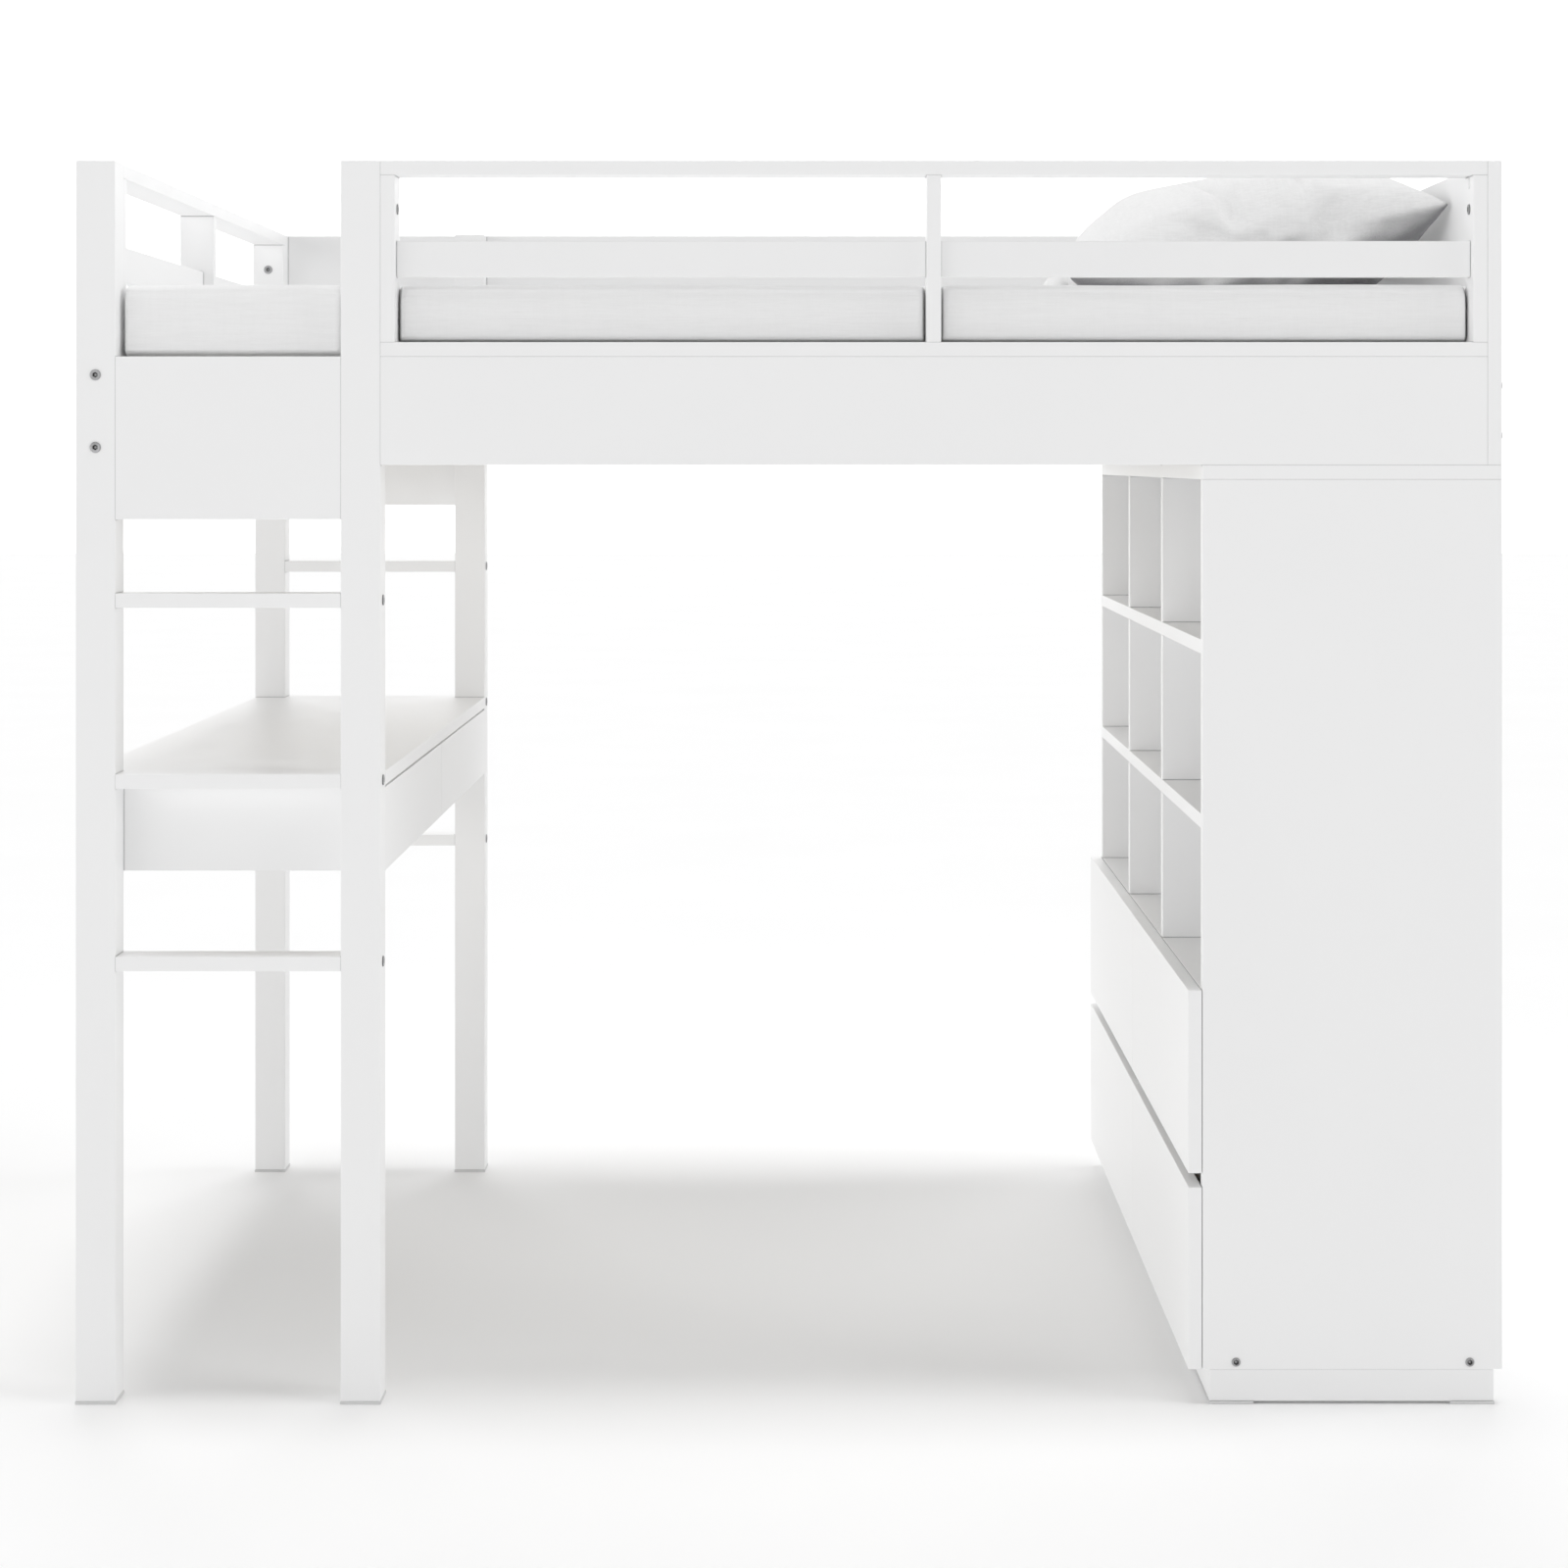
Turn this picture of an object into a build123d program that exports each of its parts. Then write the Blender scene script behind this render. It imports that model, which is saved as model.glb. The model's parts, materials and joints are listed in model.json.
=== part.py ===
from build123d import *

import os

# A loft bed for a full-size mattress. A desk with a ladder bay at each side stands
# at the left end, and a cabinet of cubbies and drawers carries the right end.
# Millimetres. X runs along the bed, Y from the front to the back, Z up.
# The origin is on the floor, under the middle of the bed.

# Mattress
MATTRESS_LENGTH = 1905
MATTRESS_WIDTH = 1372
MATTRESS_HEIGHT = 180
SOFT_GAP = 0.3

# Boards and posts
BOARD = 20
POST = 55
EDGE = 1.0
MATTRESS_EDGE = 25
PILLOW_EDGE = 100
END_ROOM = 3
SIDE_ROOM = 4

# Overall
INNER_LENGTH = MATTRESS_LENGTH + 2 * END_ROOM
LENGTH = POST + INNER_LENGTH + BOARD
WIDTH = MATTRESS_WIDTH + 2 * (SIDE_ROOM + POST)
HEIGHT = 1732
LEFT = -LENGTH / 2
RIGHT = LENGTH / 2
FRONT = -WIDTH / 2
BACK = WIDTH / 2

# Ladder bay, between the outer and the inner posts
BAY = 314
OUTER_X = (LEFT, LEFT + POST)
BAY_X = (LEFT + POST, LEFT + POST + BAY)
INNER_X = (BAY_X[1], BAY_X[1] + POST)
DESK_FRONT = INNER_X[1]
HEAD = RIGHT - BOARD
LONG_X = (DESK_FRONT, HEAD)

# Levels of the bed
RAIL_BOTTOM = 1308
RAIL_TOP = 1459
LADDER_RAIL_BOTTOM = 1232
GUARD_SLAT_Z = (1571, 1621)
RUNG_Z = (613, 1119)
GUARD_BOLT_Z = 1666
BED_SLAT_TOP = 1381
BED_SLAT = 18
BED_SLAT_WIDTH = 70
BAY_SLATS = 3
LONG_SLATS = 12
CLEAT_HEIGHT = 30
CLEAT_DEPTH = 25
BRACKET_PLATE = 3
BRACKET_HEIGHT = 60
BRACKET_REACH = 50
BEAM_WIDTH = 30
BEAM_Y = 240

# Pillow, and where it lies at the head end
PILLOW_X = (405, 965)
PILLOW_Y = (-505, 415)
PILLOW_HEIGHT = 228

# Desk
DESK_TOP_Z = (857, 877)
DESK_APRON_BOTTOM = 736
DRAWER_GAP = 3
TOP_SHADOW_GAP = 3.5

# Cabinet
CABINET_FRONT = 576
CUBBY = 224
CABINET_BOTTOM = 49
REAR_PANEL = 6
REAR_INSET = 6
MID_GAP_Z = (302, 322)
MID_RAIL_INSET = 25
MID_RAIL_DEPTH = 60
PLINTH_X = (586, 982)
PLINTH_SETBACK = 3

# Glides under posts and plinth
GLIDE = 4
GLIDE_OVERHANG = 1
PLINTH_GLIDE = (60, 24)

# Drawers
PANEL = 12
DRAWER_BOTTOM = 6
BOTTOM_LIFT = 8
FRONT_CLEARANCE = 1
RUNNER_GAP = 13
STEEL = 1.5
STEEL_EDGE = 0.4
RUNNER_PLAY = 1.5
BOX_LIFT = 16
DESK_BOX_LENGTH = 360
DESK_BOX_HEADROOM = 14
DESK_RUNNER = (320, 35)
DESK_RUNNER_INSET = 2
CABINET_BOX_LENGTH = 380
CABINET_BOX_HEADROOM = 22
CABINET_RUNNER = (350, 45)
CABINET_RUNNER_INSET = 3

# Fasteners
HEAD_RADIUS = 7.5
PANEL_HEAD_RADIUS = 6
HEAD_HEIGHT = 2
HEAD_ROUNDING = 1.2
NECK_RADIUS = 5
NECK_LENGTH = 2.5
SHANK_RADIUS = 3
DRILL_RADIUS = 3.3
SOCKET_RADIUS = 4.2
SOCKET_DEPTH = 3.4
LONG_BOLT = 90
PANEL_BOLT = 50
GUARD_BOLT = 36
NUT_RADIUS = 5
NUT_LENGTH = 14
NUT_FROM_TIP = 10
DOWEL_RADIUS = 4
DOWEL_LENGTH = 32
DOWEL_DEPTHS = (16.5, 38.5)
FIT_GAP = 0.1
RAIL_BOLT_Z = (1332.5, 1433.5)
HEAD_RAIL_BOLT_Z = (1349, 1419)
BACK_GUARD_BOLT_Z = (1526, 1665)
CABINET_BOLT_X = (622.5, 948)

RIGHTWARD = (1, 0, 0)
LEFTWARD = (-1, 0, 0)
BACKWARD = (0, 1, 0)
FORWARD = (0, -1, 0)
DOWNWARD = (0, 0, -1)


def board(x, y, z, edge=EDGE):
    """A board with eased edges, given its low and high place along each axis."""
    spans = (x, y, z)
    middle = [(low + high) / 2 for low, high in spans]
    size = [high - low for low, high in spans]
    block = Pos(*middle) * Box(*size)
    return fillet(block.edges(), edge)


def mirrored(part):
    """The same piece on the other side of the bed."""
    return mirror(part, about=Plane.XZ)


def front_and_back(part):
    return [part, mirrored(part)]


def around(middle, thickness):
    return (middle - thickness / 2, middle + thickness / 2)


def from_front(start, end):
    """A span of depth, counted from the front face of the bed."""
    return (FRONT + start, FRONT + end)


def flip(point):
    return (point[0], -point[1], point[2])


def along(point, direction, distance):
    return tuple(p + d * distance for p, d in zip(point, direction))


def rod(start, direction, radius, length):
    """A straight cylinder from start along direction."""
    upright = Cylinder(radius, length, align=(Align.CENTER, Align.CENTER, Align.MIN))
    return Plane(start, z_dir=direction).location * upright


# Fasteners. A bolt is (head place, direction, length, direction of the nut's mouth).


def left_rail_bolts():
    x = (OUTER_X[0] + OUTER_X[1]) / 2
    return [((x, FRONT, z), BACKWARD, LONG_BOLT, RIGHTWARD) for z in RAIL_BOLT_Z]


def ladder_bolts():
    levels = (RUNG_Z[0], sum(DESK_TOP_Z) / 2, RUNG_Z[1])
    y = FRONT + POST / 2
    return [((DESK_FRONT, y, z), LEFTWARD, LONG_BOLT, DOWNWARD) for z in levels]


def rail_to_headboard_bolts():
    y = FRONT + BOARD / 2
    return [((RIGHT, y, z), LEFTWARD, PANEL_BOLT, BACKWARD) for z in HEAD_RAIL_BOLT_Z]


def guard_to_headboard_bolts():
    """One bolt into the front guard's top rail and two into the back guard panel."""
    top = (RIGHT, FRONT + POST / 2, HEIGHT - BOARD / 2)
    y = BACK - BOARD / 2
    panel = [((RIGHT, y, z), LEFTWARD, PANEL_BOLT, FORWARD) for z in BACK_GUARD_BOLT_Z]
    return [(top, LEFTWARD, PANEL_BOLT, DOWNWARD)] + panel


def cabinet_bolts():
    z = CABINET_BOTTOM + BOARD / 2
    return [((x, FRONT, z), BACKWARD, PANEL_BOLT, DOWNWARD) for x in CABINET_BOLT_X]


def guard_bolts():
    """Bolts through the end uprights of the guards, above the slats."""
    z = GUARD_BOLT_Z
    y = FRONT + POST / 2
    x = (OUTER_X[0] + OUTER_X[1]) / 2
    return [
        ((DESK_FRONT + BOARD, y, z), LEFTWARD, GUARD_BOLT),
        ((HEAD - BOARD, y, z), RIGHTWARD, GUARD_BOLT),
        ((x, FRONT + POST + BOARD, z), FORWARD, GUARD_BOLT),
        ((x, BACK - POST - BOARD, z), BACKWARD, GUARD_BOLT),
    ]


def with_flips(bolts):
    flipped = [(flip(p), flip(d), length, flip(n)) for p, d, length, n in bolts]
    return bolts + flipped


LONG_BOLTS = with_flips(left_rail_bolts() + ladder_bolts())
PANEL_BOLTS = with_flips(rail_to_headboard_bolts() + cabinet_bolts()) + guard_to_headboard_bolts()
GUARD_BOLTS = guard_bolts()


def bolt(place, direction, length, head_radius=HEAD_RADIUS):
    """A flanged furniture bolt with a domed head, a sunk neck and a hexagon socket."""
    outward = tuple(-d for d in direction)
    head = rod(place, outward, head_radius, HEAD_HEIGHT)
    rim = head.edges().filter_by(GeomType.CIRCLE)
    far_rim = max(rim, key=lambda e: (e.center() - Vector(*place)).length)
    head = fillet(far_rim, HEAD_ROUNDING)
    neck = rod(place, direction, NECK_RADIUS, NECK_LENGTH)
    shank = rod(place, direction, SHANK_RADIUS, length)
    top = along(place, outward, HEAD_HEIGHT)
    hexagon = extrude(RegularPolygon(SOCKET_RADIUS, 6), SOCKET_DEPTH)
    return head + neck + shank - Plane(top, z_dir=direction).location * hexagon


def barrel_nut(place, direction, length, mouth):
    """A cross dowel that the bolt's tip screws into."""
    centre = along(place, direction, length - NUT_FROM_TIP)
    start = along(centre, mouth, -NUT_LENGTH / 2)
    nut = rod(start, mouth, NUT_RADIUS, NUT_LENGTH)
    return nut - rod(place, direction, SHANK_RADIUS + FIT_GAP, length + NUT_RADIUS)


def nut_bore(place, direction, length, mouth):
    """The blind hole for a barrel nut, open on the side of its mouth."""
    centre = along(place, direction, length - NUT_FROM_TIP)
    start = along(centre, mouth, -NUT_LENGTH / 2 - FIT_GAP)
    return rod(start, mouth, NUT_RADIUS + FIT_GAP, NUT_LENGTH + BOARD)


def insert_nut(place, direction, length):
    """A threaded sleeve around the tip of a guard bolt."""
    start = along(place, direction, BOARD + FIT_GAP)
    depth = length - BOARD
    sleeve = rod(start, direction, NUT_RADIUS, depth)
    return sleeve - rod(place, direction, SHANK_RADIUS + FIT_GAP, length + BOARD)


def dowel_places():
    """Wooden dowels that hold the rungs and the desk top to the outer posts."""
    levels = (RUNG_Z[0], sum(DESK_TOP_Z) / 2, RUNG_Z[1])
    start_x = OUTER_X[1] - DOWEL_LENGTH / 2
    one_side = [(start_x, FRONT + d, z) for z in levels for d in DOWEL_DEPTHS]
    return one_side + [flip(place) for place in one_side]


def dowel(place):
    return rod(place, RIGHTWARD, DOWEL_RADIUS, DOWEL_LENGTH)


def drill_holes():
    """Every hole that the fasteners need in the boards and posts."""
    holes = []
    for place, direction, *_ in LONG_BOLTS + PANEL_BOLTS + GUARD_BOLTS:
        holes.append(rod(place, direction, NECK_RADIUS + FIT_GAP, NECK_LENGTH + FIT_GAP))
    for place, direction, length, mouth in LONG_BOLTS + PANEL_BOLTS:
        holes.append(rod(place, direction, DRILL_RADIUS, length + EDGE))
        holes.append(nut_bore(place, direction, length, mouth))
    for place, direction, length in GUARD_BOLTS:
        holes.append(rod(place, direction, DRILL_RADIUS, BOARD + EDGE))
        start = along(place, direction, BOARD)
        holes.append(rod(start, direction, NUT_RADIUS + FIT_GAP, length - BOARD + EDGE))
    for place in dowel_places():
        start = along(place, LEFTWARD, FIT_GAP)
        holes.append(rod(start, RIGHTWARD, DOWEL_RADIUS + FIT_GAP, DOWEL_LENGTH + 2 * FIT_GAP))
    return holes


def boxes_meet(one, other):
    starts = all(a < b for a, b in zip(tuple(one.min), tuple(other.max)))
    ends = all(a < b for a, b in zip(tuple(other.min), tuple(one.max)))
    return starts and ends


def drilled(part, holes):
    """The part with every hole that reaches into it. Each hole comes with its bounding box."""
    outline = part.bounding_box()
    for hole, hole_outline in holes:
        if boxes_meet(outline, hole_outline):
            part = part - hole
    return part


# Bed frame


def outer_posts():
    post = board(OUTER_X, from_front(0, POST), (GLIDE, HEIGHT))
    return front_and_back(post)


def inner_posts():
    post = board(INNER_X, from_front(0, POST), (GLIDE, HEIGHT))
    return front_and_back(post)


def long_side_rails():
    rail = board(LONG_X, from_front(0, BOARD), (RAIL_BOTTOM, RAIL_TOP))
    return front_and_back(rail)


def ladder_bay_rails():
    rail = board(BAY_X, from_front(0, BOARD), (LADDER_RAIL_BOTTOM, RAIL_TOP))
    return front_and_back(rail)


def left_end_rail():
    x = around((OUTER_X[0] + OUTER_X[1]) / 2, BOARD)
    return [board(x, from_front(POST, WIDTH - POST), (RAIL_BOTTOM, RAIL_TOP))]


def headboard():
    return [board((HEAD, RIGHT), (FRONT, BACK), (RAIL_BOTTOM, HEIGHT))]


def ladder_rungs():
    rungs = [board(BAY_X, from_front(0, POST), around(z, BOARD)) for z in RUNG_Z]
    return [piece for rung in rungs for piece in front_and_back(rung)]


# Guards. Each has a bottom and a top rail, three uprights and two slats.

GUARD_BOTTOM_Z = (RAIL_TOP, RAIL_TOP + BOARD)
GUARD_TOP_Z = (HEIGHT - BOARD, HEIGHT)
UPRIGHT_Z = (GUARD_BOTTOM_Z[1], GUARD_TOP_Z[0])
FRONT_GUARD_Y = from_front(0, POST)
LEFT_GUARD_Y = from_front(POST, WIDTH - POST)


def upright_spans(low, high):
    """Three uprights: one at each end of a guard and one in its middle."""
    middle = (low + high - BOARD) / 2
    return [(start, start + BOARD) for start in (low, middle, high - BOARD)]


def slat_spans(low, high):
    uprights = upright_spans(low, high)
    return [(left[1], right[0]) for left, right in zip(uprights, uprights[1:])]


def front_guard_rails():
    return [board(LONG_X, FRONT_GUARD_Y, z) for z in (GUARD_BOTTOM_Z, GUARD_TOP_Z)]


def front_guard_uprights():
    return [board(x, FRONT_GUARD_Y, UPRIGHT_Z) for x in upright_spans(*LONG_X)]


def front_guard_slats():
    y = around(FRONT + POST / 2, BOARD)
    return [board(x, y, GUARD_SLAT_Z) for x in slat_spans(*LONG_X)]


def left_guard_rails():
    return [board(OUTER_X, LEFT_GUARD_Y, z) for z in (GUARD_BOTTOM_Z, GUARD_TOP_Z)]


def left_guard_uprights():
    return [board(OUTER_X, y, UPRIGHT_Z) for y in upright_spans(*LEFT_GUARD_Y)]


def left_guard_slats():
    x = around((OUTER_X[0] + OUTER_X[1]) / 2, BOARD)
    return [board(x, y, GUARD_SLAT_Z) for y in slat_spans(*LEFT_GUARD_Y)]


def back_guard_panels():
    y = from_front(WIDTH - BOARD, WIDTH)
    return [board(x, y, (RAIL_TOP, HEIGHT)) for x in (BAY_X, LONG_X)]


# Mattress support


def slat_cleats():
    top = BED_SLAT_TOP - BED_SLAT
    y = from_front(BOARD, BOARD + CLEAT_DEPTH)
    cleats = [board(x, y, (top - CLEAT_HEIGHT, top)) for x in (BAY_X, LONG_X)]
    return [piece for cleat in cleats for piece in front_and_back(cleat)]


def support_beams():
    x = ((OUTER_X[0] + OUTER_X[1] + BOARD) / 2, HEAD)
    y = around(-BEAM_Y, BEAM_WIDTH)
    beam = board(x, y, (RAIL_BOTTOM, BED_SLAT_TOP - BED_SLAT))
    return front_and_back(beam)


def spread(low, high, count):
    """Places spaced evenly, each as far from its neighbours as the ends are from low and high."""
    step = (high - low) / count
    return [low + step * (i + 0.5) for i in range(count)]


def bed_slats():
    middles = spread(*BAY_X, BAY_SLATS) + spread(*LONG_X, LONG_SLATS)
    y = from_front(BOARD + END_ROOM, WIDTH - BOARD - END_ROOM)
    z = (BED_SLAT_TOP - BED_SLAT, BED_SLAT_TOP)
    return [board(around(x, BED_SLAT_WIDTH), y, z) for x in middles]


def rail_brackets():
    """Steel angles in the corners where the side rails meet the posts."""
    plate, height, reach = BRACKET_PLATE, BRACKET_HEIGHT, BRACKET_REACH
    z = (BED_SLAT_TOP + END_ROOM, BED_SLAT_TOP + END_ROOM + height)
    inner_y = FRONT + BOARD
    corners = ((BAY_X[0], 1), (BAY_X[1], -1), (DESK_FRONT, 1))
    brackets = []
    for x, side in corners:
        on_post = sorted((x, x + side * plate))
        on_rail = sorted((x, x + side * reach))
        leg = Pos(sum(on_post) / 2, inner_y + (POST - BOARD) / 2, sum(z) / 2)
        foot = Pos(sum(on_rail) / 2, inner_y + plate / 2, sum(z) / 2)
        angle = leg * Box(plate, POST - BOARD, height) + foot * Box(reach, plate, height)
        brackets += front_and_back(angle)
    return brackets


def mattress():
    middle = HEAD - END_ROOM - MATTRESS_LENGTH / 2
    x = around(middle, MATTRESS_LENGTH)
    y = around(0, MATTRESS_WIDTH)
    bottom = BED_SLAT_TOP + SOFT_GAP
    return [board(x, y, (bottom, BED_SLAT_TOP + MATTRESS_HEIGHT), MATTRESS_EDGE)]


def pillow():
    bottom = BED_SLAT_TOP + MATTRESS_HEIGHT + SOFT_GAP
    return [board(PILLOW_X, PILLOW_Y, (bottom, bottom + PILLOW_HEIGHT), PILLOW_EDGE)]


# Drawers. A drawer is a front, a box of five boards and two runner members.


def drawer_box(x, y, z):
    """Two sides, an inner front, a back and a bottom let in between them."""
    ends = [(x[0], x[0] + PANEL), (x[1] - PANEL, x[1])]
    across = (y[0] + PANEL, y[1] - PANEL)
    sides = [board(x, span, z) for span in ((y[0], across[0]), (across[1], y[1]))]
    cross = [board(span, across, z) for span in ends]
    low = z[0] + BOTTOM_LIFT
    floor = board((ends[0][1], ends[1][0]), across, (low, low + DRAWER_BOTTOM))
    return sides + cross + [floor]


def channel(x, wall, outward, z):
    """A fixed runner on a wall of the carcass, open towards the drawer."""
    depth = RUNNER_GAP - STEEL
    body = board(x, sorted((wall, wall + outward * depth)), z, STEEL_EDGE)
    hollow_y = sorted((wall + outward * STEEL, wall + outward * RUNNER_GAP))
    hollow = Pos(sum(x) / 2, sum(hollow_y) / 2, sum(z) / 2) * Box(
        x[1] - x[0] + STEEL, hollow_y[1] - hollow_y[0], z[1] - z[0] - 2 * STEEL
    )
    return body - hollow


def slider(x, wall, outward, z):
    """The runner member on the drawer's side, which travels inside the channel."""
    inset = STEEL + RUNNER_PLAY
    z = (z[0] + inset, z[1] - inset)
    y = sorted((wall + outward * inset, wall + outward * RUNNER_GAP))
    body = board(x, y, z, STEEL_EDGE)
    groove_y = sorted((wall, wall + outward * (RUNNER_GAP - STEEL)))
    groove = Pos(sum(x) / 2, sum(groove_y) / 2, sum(z) / 2) * Box(
        x[1] - x[0] + STEEL, groove_y[1] - groove_y[0], z[1] - z[0] - 2 * STEEL
    )
    return body - groove


def desk_drawer(bay_y, front_y):
    """A drawer that opens to the right, under the desk top."""
    front_x = (DESK_FRONT - BOARD, DESK_FRONT)
    front_z = (DESK_APRON_BOTTOM, DESK_TOP_Z[0] - TOP_SHADOW_GAP)
    box_x = (front_x[0] - DESK_BOX_LENGTH, front_x[0])
    box_z = (front_z[0] + BOX_LIFT, front_z[1] - DESK_BOX_HEADROOM)
    length, height = DESK_RUNNER
    runner_end = box_x[1] - DESK_RUNNER_INSET
    runner_x = (runner_end - length, runner_end)
    runner_z = around(sum(box_z) / 2, height)
    return drawer(bay_y, front_x, front_y, front_z, box_x, box_z, runner_x, runner_z)


def cabinet_drawer(bay_y, front_y, front_z, bay_z):
    """A drawer that opens to the left, under the cubbies."""
    front_x = (CABINET_FRONT - BOARD, CABINET_FRONT - FRONT_CLEARANCE)
    box_x = (front_x[1], front_x[1] + CABINET_BOX_LENGTH)
    box_z = (bay_z[0] + BOX_LIFT, bay_z[1] - CABINET_BOX_HEADROOM)
    length, height = CABINET_RUNNER
    runner_start = box_x[0] + CABINET_RUNNER_INSET
    runner_x = (runner_start, runner_start + length)
    runner_z = around(sum(box_z) / 2, height)
    return drawer(bay_y, front_x, front_y, front_z, box_x, box_z, runner_x, runner_z)


def drawer(bay_y, front_x, front_y, front_z, box_x, box_z, runner_x, runner_z):
    box_y = (bay_y[0] + RUNNER_GAP, bay_y[1] - RUNNER_GAP)
    walls = ((bay_y[0], 1), (bay_y[1], -1))
    return {
        "front": [board(front_x, front_y, front_z)],
        "box": drawer_box(box_x, box_y, box_z),
        "runners": [slider(runner_x, wall, out, runner_z) for wall, out in walls],
        "channels": [channel(runner_x, wall, out, runner_z) for wall, out in walls],
    }


# Desk

DESK_SIDE_Y = from_front(POST, POST + BOARD)
DESK_Z = (DESK_APRON_BOTTOM, DESK_TOP_Z[0])
DESK_BACK_X = (LEFT, LEFT + BOARD)
DESK_CARCASS_FRONT = DESK_FRONT - BOARD - FRONT_CLEARANCE


def desk_top():
    """The top runs out to the faces of the posts and is notched around them."""
    top = board((LEFT, DESK_FRONT), (FRONT, BACK), DESK_TOP_Z)
    notch_y = FRONT + POST / 2
    for x in (OUTER_X, INNER_X):
        notch = Pos(sum(x) / 2, notch_y, sum(DESK_TOP_Z) / 2) * Box(POST, POST, POST)
        top = top - notch - mirrored(notch)
    return [top]


def desk_end_aprons():
    apron = board((LEFT, DESK_CARCASS_FRONT), DESK_SIDE_Y, DESK_Z)
    return front_and_back(apron)


def desk_outer_panel():
    return [board(DESK_BACK_X, (DESK_SIDE_Y[1], -DESK_SIDE_Y[1]), DESK_Z)]


def desk_divider():
    return [board((DESK_BACK_X[1], DESK_CARCASS_FRONT), around(0, BOARD), DESK_Z)]


def desk_drawers():
    bay_y = (DESK_SIDE_Y[1], -BOARD / 2)
    front_y = (DESK_SIDE_Y[0] + EDGE, -DRAWER_GAP / 2)
    flipped = [tuple(sorted((-low, -high))) for low, high in (bay_y, front_y)]
    return {
        "desk_drawer_front": desk_drawer(bay_y, front_y),
        "desk_drawer_back": desk_drawer(*flipped),
    }


# Cabinet

CABINET_TOP_Z = (RAIL_BOTTOM - BOARD, RAIL_BOTTOM)
SHELF_Z = [around(CABINET_TOP_Z[0] - i * (CUBBY + BOARD) + BOARD / 2, BOARD) for i in (1, 2, 3)]
CARCASS_Y = from_front(BOARD, WIDTH - BOARD)
REAR_X = (RIGHT - REAR_INSET - REAR_PANEL, RIGHT - REAR_INSET)
INSIDE_X = (CABINET_FRONT, REAR_X[0])
BOTTOM_Z = (CABINET_BOTTOM, CABINET_BOTTOM + BOARD)
DECK_Z = SHELF_Z[-1]


def cabinet_top():
    return [board((CABINET_FRONT, RIGHT), (FRONT, BACK), CABINET_TOP_Z)]


def cabinet_sides():
    side = board((CABINET_FRONT, RIGHT), from_front(0, BOARD), (CABINET_BOTTOM, CABINET_TOP_Z[0]))
    return front_and_back(side)


def cabinet_rear_panel():
    return [board(REAR_X, CARCASS_Y, (CABINET_BOTTOM, CABINET_TOP_Z[0]))]


def cabinet_shelves():
    """Two shelves, and the deck that closes the drawers from above."""
    return [board(INSIDE_X, CARCASS_Y, z) for z in SHELF_Z]


def cubby_dividers():
    """Two uprights in each of the three rows, which make nine equal cubbies."""
    column = (CARCASS_Y[1] - CARCASS_Y[0] - 2 * BOARD) / 3
    starts = [CARCASS_Y[0] + i * column + (i - 1) * BOARD for i in (1, 2)]
    return [
        board(INSIDE_X, (start, start + BOARD), (z[1], z[1] + CUBBY))
        for z in SHELF_Z
        for start in starts
    ]


def cabinet_bottom():
    return [board(INSIDE_X, CARCASS_Y, BOTTOM_Z)]


def cabinet_partition():
    return [board(INSIDE_X, around(0, BOARD), (BOTTOM_Z[1], DECK_Z[0]))]


def cabinet_mid_rails():
    """Cross rails behind the finger gap between the lower and the upper drawers."""
    start = CABINET_FRONT + MID_RAIL_INSET
    rail = board((start, start + MID_RAIL_DEPTH), (CARCASS_Y[0], -BOARD / 2), MID_GAP_Z)
    return front_and_back(rail)


def cabinet_plinth():
    end_y = (FRONT + PLINTH_SETBACK, FRONT + PLINTH_SETBACK + BOARD)
    z = (GLIDE, CABINET_BOTTOM)
    ends = front_and_back(board(PLINTH_X, end_y, z))
    faces = ((PLINTH_X[0], PLINTH_X[0] + BOARD), (PLINTH_X[1] - BOARD, PLINTH_X[1]))
    long_y = (end_y[1], -end_y[1])
    lengthwise = [board(x, long_y, z) for x in faces]
    middle = board((faces[0][1], faces[1][0]), around(0, BOARD), z)
    return ends + lengthwise + [middle]


def foot_glides():
    size = POST + 2 * GLIDE_OVERHANG
    places = [(sum(x) / 2, FRONT + POST / 2) for x in (OUTER_X, INNER_X)]
    glides = [Pos(x, y, GLIDE / 2) * Box(size, size, GLIDE) for x, y in places]
    length, depth = PLINTH_GLIDE
    y = FRONT + PLINTH_SETBACK + BOARD / 2
    ends = (PLINTH_X[0] + length / 2, PLINTH_X[1] - length / 2)
    glides += [Pos(x, y, GLIDE / 2) * Box(length + 2, depth, GLIDE) for x in ends]
    softened = [fillet(glide.edges(), EDGE) for glide in glides]
    return [piece for glide in softened for piece in front_and_back(glide)]


def cabinet_drawers():
    bay_y = (CARCASS_Y[0], -BOARD / 2)
    front_y = (FRONT, -DRAWER_GAP / 2)
    flipped = [tuple(sorted((-low, -high))) for low, high in (bay_y, front_y)]
    lower = ((CABINET_BOTTOM, MID_GAP_Z[0]), (BOTTOM_Z[1], MID_GAP_Z[0]))
    upper = ((MID_GAP_Z[1], DECK_Z[1]), (MID_GAP_Z[1], DECK_Z[0]))
    return {
        "lower_drawer_front": cabinet_drawer(bay_y, front_y, *lower),
        "lower_drawer_back": cabinet_drawer(*flipped, *lower),
        "upper_drawer_front": cabinet_drawer(bay_y, front_y, *upper),
        "upper_drawer_back": cabinet_drawer(*flipped, *upper),
    }


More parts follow.
